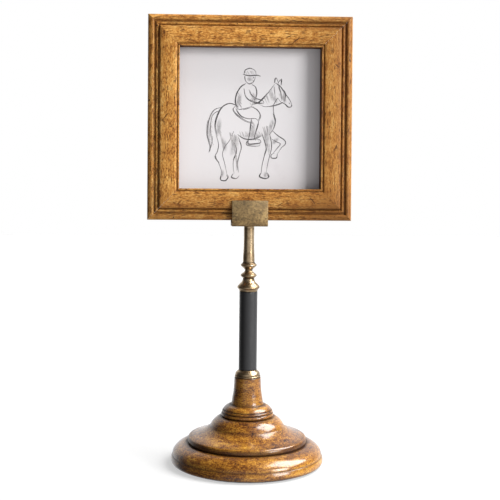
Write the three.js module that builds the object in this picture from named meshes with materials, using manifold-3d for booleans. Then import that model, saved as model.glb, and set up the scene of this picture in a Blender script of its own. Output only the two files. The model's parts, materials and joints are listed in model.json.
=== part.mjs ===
// Display easel: a turned wooden base, a leather-covered column, a turned brass stem
// and a brass bracket that holds a deep square picture frame.
// Millimetres, +Z up, the picture faces -Y. The origin is the centre of the base's underside.

import * as THREE from "three";
import { mergeVertices } from "three/addons/utils/BufferGeometryUtils.js";
import Module from "manifold-3d";

const wasm = await Module();
wasm.setup();

// ---------- driving dimensions ----------

const GAP = 0.3; // left between two pieces that touch

const FELT_RADIUS = 70;
const FELT_THICK = 1.2;
const PLINTH_BOTTOM = FELT_THICK + GAP;
const PLINTH_TOP = 22.5;
const TIER_TOP = 48.6;
const NECK_TOP = 88.6;
const COLLAR_TOP = 96;
const SLEEVE_TOP = 175.4;
const FLANGE_TOP = 188.5;
const KNOP_TOP = 204.4;
const STEM_TOP = 238.6;

const ROD_RADIUS = 2.5;
const ROD_BORE = 2.8;
const ROD_TOP = 220.5;
const SLEEVE_RADIUS = 9.05;
const LEATHER_THICK = 0.9;
const STEM_RADIUS = 5.15;

const BALLAST_RADIUS = 51.5;
const BALLAST_THICK = 6.2;
const NUT_POCKET_RADIUS = 14;
const NUT_POCKET_TOP = 12;
const NUT_FLATS = 8;
const NUT_THICK = 4;
const WASHER_RADIUS = 12;
const WASHER_THICK = 1.6;

const LEAN_DEG = 3; // the bracket and the picture lean back by this much
const HEAD_Z = 240.9; // underside of the ledge, on the column's axis
const LIP_FRONT = -15;
const SHEET_BRASS = 2.5;
const LEDGE_THICK = 3;
const BRACKET_WIDTH = 35.7;
const LIP_HEIGHT = 25.6;
const REST_HEIGHT = 96;
const PIVOT_RADIUS = 2;
const PIVOT_HEAD_RADIUS = 4.2;
const PIVOT_HEAD_THICK = 2.2;

const FRAME_SIDE = 203;
const FRAME_DEPTH = 22;
const RAIL_WIDTH = 31.3;
const REBATE_WIDTH = 26; // wood outside the rebate, from the outer edge
const SIGHT_DEPTH = 16; // from the frame's front to the print's seat
const FRAME_BOTTOM = 5.9; // above the ledge's underside, along the lean
const PRINT_THICK = 0.8;

const BUTTON_THICK = 1.5;
const BUTTON_HEIGHTS = [-38, 38];
const BUTTON_INSET = 19; // pivot, in from the frame's outer edge
const BUTTON_REACH = 18;
const BUTTON_TAIL = 5;
const BUTTON_SCREW_RADIUS = 1.5;

// ---------- finishes ----------

const finish = (color, roughness, metalness) =>
  new THREE.MeshStandardMaterial({ color, roughness, metalness });

const goldenWood = finish(0xb0763a, 0.4, 0);
const agedBrass = finish(0x8f7a55, 0.35, 1);
const blackLeather = finish(0x37383a, 0.55, 0);
const darkSteel = finish(0x6d6e70, 0.4, 1);
const greenFelt = finish(0x27362c, 0.95, 0);
const whitePaper = finish(0xe2dedb, 0.9, 0);
const brownBoard = finish(0x7d6247, 0.85, 0);

// ---------- helpers ----------

function named(name, geometry, material) {
  const mesh = new THREE.Mesh(geometry, material);
  mesh.name = name;
  return mesh;
}

/** A turned piece: a profile of [radius, height] points, spun about Z. */
function turned(profile, segments) {
  const points = profile.map(([r, z]) => new THREE.Vector2(r, z));
  const geometry = new THREE.LatheGeometry(points, segments);
  geometry.rotateX(Math.PI / 2);
  return geometry;
}

/** A turned tube: its outer profile, listed upwards, and a straight bore. */
function turnedTube(outer, bore, segments) {
  const bottom = outer[0][1];
  const top = outer[outer.length - 1][1];
  return turned([[bore, bottom], ...outer, [bore, top], [bore, bottom]], segments);
}

/** A box from its lowest to its highest corner. */
function boxBetween(low, high) {
  const geometry = new THREE.BoxGeometry(high[0] - low[0], high[1] - low[1], high[2] - low[2]);
  geometry.translate((low[0] + high[0]) / 2, (low[1] + high[1]) / 2, (low[2] + high[2]) / 2);
  return geometry;
}

function toSolid(geometry) {
  const bare = geometry.clone();
  for (const name of Object.keys(bare.attributes)) {
    if (name !== "position") bare.deleteAttribute(name);
  }
  const merged = mergeVertices(bare, 1e-4);
  return new wasm.Manifold(
    new wasm.Mesh({
      numProp: 3,
      vertProperties: new Float32Array(merged.attributes.position.array),
      triVerts: new Uint32Array(merged.index.array),
    }),
  );
}

function toGeometry(solid) {
  const mesh = solid.getMesh();
  const geometry = new THREE.BufferGeometry();
  geometry.setAttribute("position", new THREE.BufferAttribute(mesh.vertProperties, 3));
  geometry.setIndex(new THREE.BufferAttribute(mesh.triVerts, 1));
  const flat = geometry.toNonIndexed();
  flat.computeVertexNormals();
  return flat;
}

/** body with every tool cut out of it. */
function cut(body, ...tools) {
  let solid = toSolid(body);
  for (const tool of tools) solid = solid.subtract(toSolid(tool));
  return toGeometry(solid);
}

// ---------- base ----------

function makeFeltPad() {
  const profile = [
    [0, 0],
    [FELT_RADIUS, 0],
    [FELT_RADIUS, FELT_THICK],
    [0, FELT_THICK],
  ];
  return named("felt_pad", turned(profile, 40), greenFelt);
}

/** The widest tier: a rounded rim, a fine groove, then a roll that rises to the middle tier. */
function makePlinth() {
  const recessTop = PLINTH_BOTTOM + GAP + BALLAST_THICK + GAP;
  const profile = [
    [ROD_BORE, NUT_POCKET_TOP],
    [NUT_POCKET_RADIUS, NUT_POCKET_TOP],
    [NUT_POCKET_RADIUS, recessTop],
    [BALLAST_RADIUS + GAP, recessTop],
    [BALLAST_RADIUS + GAP, PLINTH_BOTTOM],
    [73.4, PLINTH_BOTTOM],
    [75.4, 2.2],
    [76.5, 3.6],
    [76.8, 5.4],
    [76.5, 7.4],
    [76, 9.2],
    [75.6, 10],
    [75.3, 10.3],
    [75.3, 11.6],
    [74.6, 13.7],
    [73, 16],
    [70.5, 18.3],
    [66.5, 20.6],
    [62.5, 22],
    [59.4, PLINTH_TOP],
    [ROD_BORE, PLINTH_TOP],
    [ROD_BORE, NUT_POCKET_TOP],
  ];
  return named("base_plinth", turned(profile, 48), goldenWood);
}

/** The middle tier: a beaded edge, a hollow sweep and a small dome. */
function makeTier() {
  const outer = [
    [59.2, PLINTH_TOP + GAP],
    [59.8, 23.5],
    [60, 24.8],
    [59.6, 26.8],
    [58.6, 28.2],
    [57.2, 28.9],
    [56.4, 29.1],
    [54, 30],
    [49, 31.8],
    [44.4, 33.9],
    [40.6, 36.2],
    [38.2, 38],
    [37.5, 38.8],
    [36.4, 41],
    [34.7, 43.4],
    [32.3, 45.8],
    [29.6, 47.6],
    [27, TIER_TOP],
  ];
  return named("base_tier", turnedTube(outer, ROD_BORE, 48), goldenWood);
}

/** Stacked rings and a tapering neck. */
function makeNeck() {
  const outer = [
    [25.3, TIER_TOP + GAP],
    [26.2, 50],
    [26.4, 51.2],
    [25.8, 52.6],
    [25.2, 53],
    [25.4, 53.7],
    [25.4, 54.4],
    [24.8, 55.3],
    [24.1, 55.7],
    [23.2, 57.4],
    [21.8, 58.8],
    [19.6, 60],
    [17.2, 60.7],
    [16.6, 61.2],
    [15.7, 63.6],
    [15, 68.6],
    [14.05, 74.7],
    [13.6, 80.9],
    [13.2, 88],
    [12.9, NECK_TOP],
  ];
  return named("base_neck", turnedTube(outer, ROD_BORE, 40), goldenWood);
}

function makeBallast() {
  const bottom = PLINTH_BOTTOM + GAP;
  const outer = [
    [BALLAST_RADIUS, bottom],
    [BALLAST_RADIUS, bottom + BALLAST_THICK],
  ];
  return named("ballast_ring", turnedTube(outer, NUT_POCKET_RADIUS + 1, 40), darkSteel);
}

function makeRod() {
  const bottom = 4.8;
  const profile = [
    [0, bottom],
    [ROD_RADIUS, bottom],
    [ROD_RADIUS, ROD_TOP],
    [0, ROD_TOP],
  ];
  return named("tie_rod", turned(profile, 16), darkSteel);
}

function makeWasher() {
  const top = NUT_POCKET_TOP - GAP;
  const outer = [
    [WASHER_RADIUS, top - WASHER_THICK],
    [WASHER_RADIUS, top],
  ];
  return named("base_washer", turnedTube(outer, ROD_BORE, 24), darkSteel);
}

function makeNut() {
  const top = NUT_POCKET_TOP - GAP - WASHER_THICK - GAP;
  const outer = new THREE.Shape();
  for (let i = 0; i < 6; i += 1) {
    const angle = (i * Math.PI) / 3;
    const reach = NUT_FLATS / Math.sqrt(3);
    outer[i ? "lineTo" : "moveTo"](reach * Math.cos(angle), reach * Math.sin(angle));
  }
  outer.closePath();
  outer.holes.push(new THREE.Path().absarc(0, 0, ROD_BORE, 0, Math.PI * 2, true));
  const geometry = new THREE.ExtrudeGeometry(outer, {
    depth: NUT_THICK,
    bevelEnabled: false,
    curveSegments: 8,
  });
  geometry.translate(0, 0, top - NUT_THICK);
  return named("base_nut", geometry, darkSteel);
}

// ---------- column ----------

/** Two brass rings that cap the wooden neck. */
function makeCollar() {
  const outer = [
    [12.7, NECK_TOP + GAP],
    [13, 89.3],
    [12.9, 90],
    [12.1, 90.4],
    [12.3, 91.4],
    [12.3, 92.3],
    [11.85, 93.1],
    [10.9, 94.2],
    [9.7, 95.2],
    [9.1, COLLAR_TOP],
  ];
  return named("lower_collar", turnedTube(outer, ROD_BORE, 32), agedBrass);
}

function makeSleeve() {
  const bottom = COLLAR_TOP + GAP;
  const skin = [
    [SLEEVE_RADIUS, bottom],
    [SLEEVE_RADIUS, SLEEVE_TOP],
  ];
  const inner = SLEEVE_RADIUS - LEATHER_THICK;
  const core = [
    [inner - GAP, bottom],
    [inner - GAP, SLEEVE_TOP],
  ];
  return [
    named("leather_sleeve", turnedTube(skin, inner, 32), blackLeather),
    named("core_dowel", turnedTube(core, ROD_BORE, 24), goldenWood),
  ];
}

function makeFlange() {
  const outer = [
    [9.1, SLEEVE_TOP + GAP],
    [9.2, 176.2],
    [10.3, 178.5],
    [11.1, 179.6],
    [10.9, 180.6],
    [10.4, 181.6],
    [8.3, 183.6],
    [7.2, 184.6],
    [6.4, 185.6],
    [5.65, 187.7],
    [5.6, FLANGE_TOP],
  ];
  return named("bell_flange", turnedTube(outer, ROD_BORE, 28), agedBrass);
}

/** Two round beads with a narrow waist between them. */
function makeKnops() {
  const outer = [
    [5.7, FLANGE_TOP + GAP],
    [7.8, 190.7],
    [8.1, 191.7],
    [7.45, 192.7],
    [6.25, 193.8],
    [4.9, 194.8],
    [4, 195.8],
    [3.75, 196.8],
    [4.2, 197.8],
    [5.2, 198.8],
    [7.6, 200.9],
    [8.05, 201.9],
    [7.6, 202.9],
    [6.35, 203.9],
    [6.1, KNOP_TOP],
  ];
  return named("twin_knop", turnedTube(outer, ROD_BORE, 28), agedBrass);
}

/** The tapering brass stem: it screws onto the tie rod, and takes the pivot screw in its top. */
function makeStem() {
  const profile = [
    [0, ROD_TOP + GAP],
    [ROD_BORE, ROD_TOP + GAP],
    [ROD_BORE, KNOP_TOP + GAP],
    [5.9, KNOP_TOP + GAP],
    [5.7, 212],
    [5.4, 217],
    [STEM_RADIUS, 227],
    [STEM_RADIUS, STEM_TOP],
    [PIVOT_RADIUS + GAP, STEM_TOP],
    [PIVOT_RADIUS + GAP, 226],
    [0, 226],
  ];
  return named("stem_tube", turned(profile, 28), agedBrass);
}

// ---------- bracket ----------

const lean = THREE.MathUtils.degToRad(LEAN_DEG);

/** Height of the leaning ledge's underside above y. */
const ledgeUnderside = (y) => HEAD_Z - y * Math.tan(lean);

/** A thin round wedge between the level stem and the leaning ledge. */
function makeWedge() {
  const bottom = STEM_TOP + GAP;
  const outer = [
    [STEM_RADIUS, bottom],
    [STEM_RADIUS, bottom + 1],
  ];
  const geometry = turnedTube(outer, PIVOT_RADIUS + GAP, 28);
  const position = geometry.attributes.position;
  for (let i = 0; i < position.count; i += 1) {
    const above = position.getZ(i) > bottom + 0.5;
    if (above) position.setZ(i, ledgeUnderside(position.getY(i)) - GAP);
  }
  geometry.computeVertexNormals();
  return named("wedge_washer", geometry, agedBrass);
}

function makePivotScrew() {
  const headTop = HEAD_Z + LEDGE_THICK - 0.3;
  const profile = [
    [0, 227],
    [PIVOT_RADIUS, 227],
    [PIVOT_RADIUS, headTop - PIVOT_HEAD_THICK],
    [PIVOT_HEAD_RADIUS, headTop],
    [0, headTop],
  ];
  return named("pivot_screw", turned(profile, 20), agedBrass);
}

const frameFront = LIP_FRONT + SHEET_BRASS + GAP;
const frameBack = frameFront + FRAME_DEPTH;
const restFeltThick = 1.2;
const restFront = frameBack + GAP + restFeltThick + GAP;
const restBack = restFront + SHEET_BRASS;

/** One strip of brass bent into a front lip, a ledge and a tall back rest. */
function makeBracket() {
  const bend = 2.4;
  const side = new THREE.Shape();
  side.moveTo(LIP_FRONT, LIP_HEIGHT);
  side.lineTo(LIP_FRONT, bend);
  side.absarc(LIP_FRONT + bend, bend, bend, Math.PI, Math.PI * 1.5, false);
  side.lineTo(restBack - bend, 0);
  side.absarc(restBack - bend, bend, bend, -Math.PI / 2, 0, false);
  side.lineTo(restBack, REST_HEIGHT);
  side.lineTo(restFront, REST_HEIGHT);
  side.lineTo(restFront, LEDGE_THICK);
  side.lineTo(LIP_FRONT + SHEET_BRASS, LEDGE_THICK);
  side.lineTo(LIP_FRONT + SHEET_BRASS, LIP_HEIGHT);
  side.closePath();
  const strip = new THREE.ExtrudeGeometry(side, {
    depth: BRACKET_WIDTH,
    bevelEnabled: false,
    curveSegments: 4,
  });
  strip.translate(0, 0, -BRACKET_WIDTH / 2);
  // the outline's x is the depth and its y the height; the strip runs along the width
  strip.applyMatrix4(new THREE.Matrix4().makeBasis(
    new THREE.Vector3(0, 1, 0),
    new THREE.Vector3(0, 0, 1),
    new THREE.Vector3(1, 0, 0),
  ));

  const screwHole = turned([
    [0, -2],
    [PIVOT_RADIUS + 0.5, -2],
    [PIVOT_RADIUS + 0.5, LEDGE_THICK - 0.3 - PIVOT_HEAD_THICK - 0.2],
    [PIVOT_HEAD_RADIUS + 0.6, LEDGE_THICK - 0.1],
    [PIVOT_HEAD_RADIUS + 0.6, LEDGE_THICK + 2],
    [0, LEDGE_THICK + 2],
  ], 20);
  screwHole.rotateX(lean);
  return named("bracket_cradle", cut(strip, screwHole), agedBrass);
}

function makeLedgeFelt() {
  const halfWidth = BRACKET_WIDTH / 2 - 1;
  const geometry = boxBetween(
    [-halfWidth, LIP_FRONT + SHEET_BRASS + GAP, LEDGE_THICK + GAP],
    [halfWidth, restFront - GAP, FRAME_BOTTOM - GAP],
  );
  return named("ledge_felt", geometry, greenFelt);
}

function makeRestFelt() {
  const halfWidth = BRACKET_WIDTH / 2 - 1;
  const geometry = boxBetween(
    [-halfWidth, frameBack + GAP, FRAME_BOTTOM],
    [halfWidth, restFront - GAP, REST_HEIGHT - 2],
  );
  return named("rest_felt", geometry, greenFelt);
}

// ---------- picture frame, drawn about its own centre, front face at y = 0 ----------

const halfSide = FRAME_SIDE / 2;
const insertHalf = halfSide - REBATE_WIDTH - GAP;

/** The moulding's section: [distance in from the outer edge, distance back from the front]. */
const MOULDING = [
  [0, FRAME_DEPTH],
  [0, 5.1],
  [0.45, 3.8],
  [1.5, 2.9],
  [3.2, 2.5],
  [4.9, 2.8],
  [6.2, 3.8],
  [6.6, 4.7],
  [7.6, 4.7],
  [7.8, 4],
  [8.3, 3.3],
  [9.2, 3.05],
  [10, 3.35],
  [10.8, 4.5],
  [11.3, 4.5],
  [11.6, 1.6],
  [12.5, 0.3],
  [13.4, 0],
  [27.4, 0],
  [28.2, 0.4],
  [29, 1.5],
  [29.5, 1.5],
  [30, 0.75],
  [30.6, 0.7],
  [RAIL_WIDTH, 1.7],
  [RAIL_WIDTH, SIGHT_DEPTH],
  [REBATE_WIDTH, SIGHT_DEPTH],
  [REBATE_WIDTH, FRAME_DEPTH],
];

/** A mitred rail, drawn as the frame's bottom one. */
function railGeometry() {
  const mitreGap = GAP / Math.SQRT2;
  const section = new THREE.Shape(MOULDING.map(([t, d]) => new THREE.Vector2(t, d)));
  const geometry = new THREE.ExtrudeGeometry(section, { depth: 1, bevelEnabled: false });
  const position = geometry.attributes.position;
  for (let i = 0; i < position.count; i += 1) {
    const inset = position.getX(i);
    const back = position.getY(i);
    const end = position.getZ(i) > 0.5 ? -1 : 1;
    position.setXYZ(i, end * (halfSide - inset - mitreGap), back, inset - halfSide);
  }
  return geometry;
}

function makeRails() {
  const turns = { rail_bottom: 0, rail_right: 1, rail_top: 2, rail_left: 3 };
  return Object.entries(turns).map(([name, quarter]) => {
    let geometry = railGeometry();
    geometry.rotateY((-quarter * Math.PI) / 2);
    const side = { rail_right: 1, rail_left: -1 }[name];
    if (side) {
      const holes = BUTTON_HEIGHTS.map((z) => {
        const hole = screwBore();
        hole.translate(side * (halfSide - BUTTON_INSET), 0, z);
        return hole;
      });
      geometry = cut(geometry, ...holes);
    }
    return named(name, geometry, goldenWood);
  });
}

const screwTip = FRAME_DEPTH - 8;

function screwBore() {
  const profile = [
    [0, screwTip - GAP],
    [BUTTON_SCREW_RADIUS + GAP, screwTip - GAP],
    [BUTTON_SCREW_RADIUS + GAP, FRAME_DEPTH + 5],
    [0, FRAME_DEPTH + 5],
  ];
  return alongDepth(turned(profile, 12));
}

/** Turns a piece made along +Z so that it runs back along +Y. */
function alongDepth(geometry) {
  return geometry.rotateX(-Math.PI / 2);
}

/** A square sheet in the rebate, from one depth to another. */
function insert(name, front, back, material) {
  const low = [-insertHalf, front, -insertHalf];
  const high = [insertHalf, back, insertHalf];
  return named(name, boxBetween(low, high), material);
}

const printFront = SIGHT_DEPTH + GAP;
const printBack = printFront + PRINT_THICK;

/** A small brass plate that turns on its screw to hold the backing board in. */
function makeButton(name, side, z) {
  const half = 4.5;
  const outline = new THREE.Shape();
  outline.moveTo(-BUTTON_REACH + half, -half);
  outline.lineTo(BUTTON_TAIL - half, -half);
  outline.absarc(BUTTON_TAIL - half, 0, half, -Math.PI / 2, Math.PI / 2, false);
  outline.lineTo(-BUTTON_REACH + half, half);
  outline.absarc(-BUTTON_REACH + half, 0, half, Math.PI / 2, Math.PI * 1.5, false);
  const bore = new THREE.Path().absarc(0, 0, BUTTON_SCREW_RADIUS + GAP, 0, Math.PI * 2, true);
  outline.holes.push(bore);
  const geometry = alongDepth(new THREE.ExtrudeGeometry(outline, {
    depth: BUTTON_THICK,
    bevelEnabled: false,
    curveSegments: 8,
  }));
  const button = named(name, geometry, agedBrass);
  button.position.set(side * (halfSide - BUTTON_INSET), FRAME_DEPTH + GAP, z);
  if (side < 0) button.rotation.y = Math.PI;
  return button;
}

function makeButtonScrew(name, side, z) {
  const seat = FRAME_DEPTH + GAP + BUTTON_THICK + GAP;
  const profile = [
    [0, screwTip],
    [BUTTON_SCREW_RADIUS, screwTip],
    [BUTTON_SCREW_RADIUS, seat],
    [3.1, seat],
    [2.9, seat + 1],
    [1.8, seat + 1.6],
    [0, seat + 1.7],
  ];
  const screw = named(name, alongDepth(turned(profile, 16)), agedBrass);
  screw.position.set(side * (halfSide - BUTTON_INSET), 0, z);
  return screw;
}

function makeFastenings() {
  const pieces = [];
  for (const [sideName, side] of [["left", -1], ["right", 1]]) {
    for (const z of BUTTON_HEIGHTS) {
      const place = `${sideName}_${z < 0 ? "lower" : "upper"}`;
      pieces.push(makeButton(`turn_button_${place}`, side, z));
      pieces.push(makeButtonScrew(`button_screw_${place}`, side, z));
    }
  }
  return pieces;
}

// ---------- assembly ----------

const pictureFrame = new THREE.Group();
pictureFrame.position.set(0, frameFront, FRAME_BOTTOM + halfSide);
pictureFrame.add(
  ...makeRails(),
  insert("print_sheet", printFront, printBack, whitePaper),
  insert("backing_board", printBack + GAP, FRAME_DEPTH - GAP, brownBoard),
  ...makeFastenings(),
);

const head = new THREE.Group();
head.position.z = HEAD_Z;
head.rotation.x = -lean;
head.add(makeBracket(), makeLedgeFelt(), makeRestFelt(), pictureFrame);

const group = new THREE.Group();
group.add(
  makeFeltPad(),
  makePlinth(),
  makeTier(),
  makeNeck(),
  makeBallast(),
  makeRod(),
  makeWasher(),
  makeNut(),
  makeCollar(),
  ...makeSleeve(),
  makeFlange(),
  makeKnops(),
  makeStem(),
  makeWedge(),
  makePivotScrew(),
  head,
);

export default group;
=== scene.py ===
import json
import math

import bpy
from mathutils import Matrix, Vector


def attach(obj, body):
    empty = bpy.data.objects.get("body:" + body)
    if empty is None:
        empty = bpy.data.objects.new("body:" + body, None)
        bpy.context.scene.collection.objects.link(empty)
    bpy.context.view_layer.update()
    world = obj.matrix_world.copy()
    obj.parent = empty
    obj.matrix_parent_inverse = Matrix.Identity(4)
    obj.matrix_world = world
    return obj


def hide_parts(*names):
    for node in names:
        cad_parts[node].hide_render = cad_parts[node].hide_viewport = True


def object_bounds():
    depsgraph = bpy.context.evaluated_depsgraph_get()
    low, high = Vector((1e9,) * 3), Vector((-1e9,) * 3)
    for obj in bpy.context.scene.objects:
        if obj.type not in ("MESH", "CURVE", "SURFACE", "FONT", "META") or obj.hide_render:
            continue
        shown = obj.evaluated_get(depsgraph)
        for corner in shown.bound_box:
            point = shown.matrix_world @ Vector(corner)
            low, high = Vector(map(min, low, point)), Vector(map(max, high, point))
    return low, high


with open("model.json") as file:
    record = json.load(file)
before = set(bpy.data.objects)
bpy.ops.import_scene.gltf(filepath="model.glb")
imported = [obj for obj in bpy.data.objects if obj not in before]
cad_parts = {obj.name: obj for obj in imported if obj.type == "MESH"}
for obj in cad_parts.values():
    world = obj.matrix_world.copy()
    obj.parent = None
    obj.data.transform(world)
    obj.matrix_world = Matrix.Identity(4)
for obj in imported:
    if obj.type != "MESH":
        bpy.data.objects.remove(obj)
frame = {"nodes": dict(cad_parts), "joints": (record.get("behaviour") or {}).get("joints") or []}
cad_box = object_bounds()

# ---------------------------------------------------------------------------
# The studio: a pale table top, a white surround, a soft box high on the right, a
# smaller one low beside it, a broad weak one between them, and the camera.
# ---------------------------------------------------------------------------

lower, upper = cad_box
object_height = upper.z - lower.z

camera_data = bpy.data.cameras.new("studio_camera")
camera_data.sensor_width = 36
camera_data.lens = 86.8
camera_data.shift_x = 0.0016
camera_data.shift_y = -0.06
camera = bpy.data.objects.new("studio_camera", camera_data)
bpy.context.scene.collection.objects.link(camera)
camera.location = (-0.069, -1.198, 0.342)
looks_at = Vector((0, 0, 0.247))
turn = (looks_at - camera.location).to_track_quat("-Z", "Y").to_matrix().to_4x4()
lean_of_camera = Matrix.Rotation(math.radians(0.6), 4, "Z")
camera.rotation_euler = (turn @ lean_of_camera).to_euler()
bpy.context.scene.camera = camera

bpy.context.scene.view_settings.view_transform = "Standard"


class Value:
    """One output of a shader node, which takes part in sums like a number."""

    def __init__(self, finish, socket):
        self.finish = finish
        self.socket = socket

    def __add__(self, other):
        return self.finish.maths("ADD", self, other)

    def __sub__(self, other):
        return self.finish.maths("SUBTRACT", self, other)

    def __rsub__(self, other):
        return self.finish.maths("SUBTRACT", other, self)

    def __mul__(self, other):
        return self.finish.maths("MULTIPLY", self, other)

    def __truediv__(self, other):
        return self.finish.maths("DIVIDE", self, other)

    def __abs__(self):
        return self.finish.maths("ABSOLUTE", self)

    __radd__ = __add__
    __rmul__ = __mul__


class Finish:
    """A node tree that one finish is mixed in."""

    def __init__(self, tree):
        self.tree = tree

    def node(self, kind, settings, values, output=0):
        """A node of one kind, with its settings, and the values or links of its sockets."""
        made = self.tree.nodes.new(kind)
        for name, setting in settings.items():
            if name == "stops":
                ramp = made.color_ramp
                while len(ramp.elements) < len(setting):
                    ramp.elements.new(1)
                for element, (place, shade) in zip(ramp.elements, setting):
                    element.position = place
                    element.color = (*shade, 1)
            else:
                setattr(made, name, setting)
        for name, value in values.items():
            if isinstance(value, Value):
                self.tree.links.new(value.socket, made.inputs[name])
            else:
                made.inputs[name].default_value = value
        return Value(self, made.outputs[output]) if made.outputs else None

    def maths(self, operation, *terms):
        return self.node("ShaderNodeMath", {"operation": operation}, dict(enumerate(terms)))

    def clamped(self, value):
        return self.node("ShaderNodeClamp", {}, {0: value})

    def between(self, value, start, end):
        """0 up to start, 1 from end on, and smooth between them."""
        settings = {"interpolation_type": "SMOOTHSTEP"}
        return self.node("ShaderNodeMapRange", settings, {0: value, 1: start, 2: end})

    def mixed(self, amount, first, second):
        """Two colours mixed."""
        first = first if isinstance(first, Value) else (*first, 1)
        second = second if isinstance(second, Value) else (*second, 1)
        values = {0: amount, 6: first, 7: second}
        return self.node("ShaderNodeMix", {"data_type": "RGBA"}, values, 2)

    def place(self):
        """The place on the piece, in metres."""
        return self.node("ShaderNodeTexCoord", {}, {}, 3)

    def moved(self, place, location=(0, 0, 0), rotation=(0, 0, 0), scale=(1, 1, 1)):
        """The same place, as seen from some other centre, turn and scale."""
        values = {0: place, 1: location, 2: rotation, 3: scale}
        return self.node("ShaderNodeMapping", {"vector_type": "TEXTURE"}, values)

    def stretched(self, place, scale):
        return self.node("ShaderNodeMapping", {}, {0: place, 3: scale})

    def noise(self, place, scale, detail=3, roughness=0.5, distortion=0):
        values = {"Vector": place, "Scale": scale, "Detail": detail}
        values |= {"Roughness": roughness, "Distortion": distortion}
        return self.node("ShaderNodeTexNoise", {}, values)

    def split(self, place):
        """The three parts of a place or direction."""
        made = self.node("ShaderNodeSeparateXYZ", {}, {0: place})
        outputs = made.socket.node.outputs
        return [Value(self, outputs[axis]) for axis in range(3)]

    def bumped(self, height, strength, distance):
        values = {"Height": height, "Strength": strength, "Distance": distance}
        return self.node("ShaderNodeBump", {}, values)


world = bpy.data.worlds.new("white_surround")
bpy.context.scene.world = world
world.use_nodes = True
world.node_tree.nodes.clear()
surround = Finish(world.node_tree)
# the room is bright far behind and a little behind the camera, the table top sends
# light back up, most of it on the right, and the rest of the room is dark
across, beyond, up = surround.split(surround.node("ShaderNodeTexCoord", {}, {}))
behind = surround.between(beyond, 0.40, 0.86) * 0.9
before = surround.between(beyond, -0.60, -0.97) * 0.42
below = surround.between(up, 0.05, -0.06) * surround.clamped(across * 0.74 + 0.62)
room_tone = surround.clamped(behind + before + below + 0.09)
room = surround.mixed(room_tone, (0, 0, 0), (0.99, 0.99, 1))
room_light = surround.node("ShaderNodeBackground", {}, {0: room, 1: 1})
plain_white = surround.node("ShaderNodeBackground", {}, {0: (1, 1, 1, 1), 1: 1})
seen = surround.node("ShaderNodeLightPath", {}, {})
shown = surround.node("ShaderNodeMixShader", {}, {0: seen, 1: room_light, 2: plain_white})
surround.node("ShaderNodeOutputWorld", {}, {0: shown})

# how far off each light stands, in metres
LIGHTS_STAND_OFF = 8


def soft_box(name, direction, width, power, colour=(1, 1, 1)):
    """A square soft box that stands off in some direction and faces the object."""
    light = bpy.data.lights.new(name, "AREA")
    light.size = width
    light.energy = power
    light.color = colour
    lamp = bpy.data.objects.new(name, light)
    bpy.context.scene.collection.objects.link(lamp)
    aim = Vector((0, 0, object_height * 0.5))
    away = Vector(direction).normalized()
    lamp.location = aim + away * LIGHTS_STAND_OFF
    lamp.rotation_euler = away.to_track_quat("Z", "Y").to_euler()


soft_box("high_box", (0.65, 0.02, 0.76), 5.6, 1500, (1, 0.99, 0.97))
soft_box("low_box", (0.735, -0.617, 0.27), 3.2, 575)
soft_box("broad_box", (0.604, -0.507, 0.616), 7, 95)

bpy.ops.object.select_all(action="DESELECT")
bpy.ops.mesh.primitive_plane_add(size=5)
floor = bpy.context.object
floor.name = "floor"
floor_material = bpy.data.materials.new("pale_floor")
floor_material.use_nodes = True
floor_shader = floor_material.node_tree.nodes["Principled BSDF"]
floor_shader.inputs["Base Color"].default_value = (0.29, 0.292, 0.295, 1)
floor_shader.inputs["Roughness"].default_value = 0.9
floor_shader.inputs["Specular IOR Level"].default_value = 0.1
floor_shader.inputs["Emission Color"].default_value = (1, 1, 1, 1)
floor_shader.inputs["Emission Strength"].default_value = 0.53
floor.data.materials.append(floor_material)
floor.visible_diffuse = False
floor.visible_glossy = False

# ---------------------------------------------------------------------------
# The base: three pieces turned on a lathe from pale hardwood, stained golden
# brown, spattered, glazed dark with painted shade in the grooves and joins,
# and lacquered to a high gloss.
# ---------------------------------------------------------------------------

MM = 0.001
SHARP = math.radians(38)


def finish_named(name, **constants):
    """A new material: itself, its finish to mix in, and its shader."""
    material = bpy.data.materials.new(name)
    material.use_nodes = True
    shader = material.node_tree.nodes["Principled BSDF"]
    for socket, value in constants.items():
        shader.inputs[socket.replace("_", " ")].default_value = value
    return material, Finish(material.node_tree), shader


def wire(finish, shader, **values):
    """Links values to the shader's sockets."""
    for socket, value in values.items():
        finish.tree.links.new(value.socket, shader.inputs[socket.replace("_", " ")])


def flowing(points, parts=4):
    """The points of a smooth curve that passes through some points."""
    ends = [points[0], *points, points[-1]]
    curve = []
    for before, start, end, after in zip(ends, ends[1:], ends[2:], ends[3:]):
        for step in range(parts):
            t = step / parts
            curve.append(tuple(
                b + ((c - a) * t + (2 * a - 5 * b + 4 * c - d) * t**2
                     + (3 * b - a - 3 * c + d) * t**3) / 2
                for a, b, c, d in zip(before, start, end, after)
            ))
    return [*curve, points[-1]]


def drawn(name, outline):
    """An outline of (x, y, z) points in millimetres, drawn point by point."""
    bpy.ops.object.select_all(action="DESELECT")
    bpy.ops.mesh.primitive_plane_add(size=MM)
    piece = bpy.context.object
    piece.name = name
    bpy.ops.object.mode_set(mode="EDIT")
    bpy.ops.mesh.merge(type="CENTER")
    bpy.ops.transform.translate(value=Vector(outline[0]) * MM)
    for start, end in zip(outline, outline[1:]):
        move = (Vector(end) - Vector(start)) * MM
        bpy.ops.mesh.extrude_region_move(TRANSFORM_OT_translate={"value": move})
    bpy.ops.object.mode_set(mode="OBJECT")
    return piece


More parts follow.
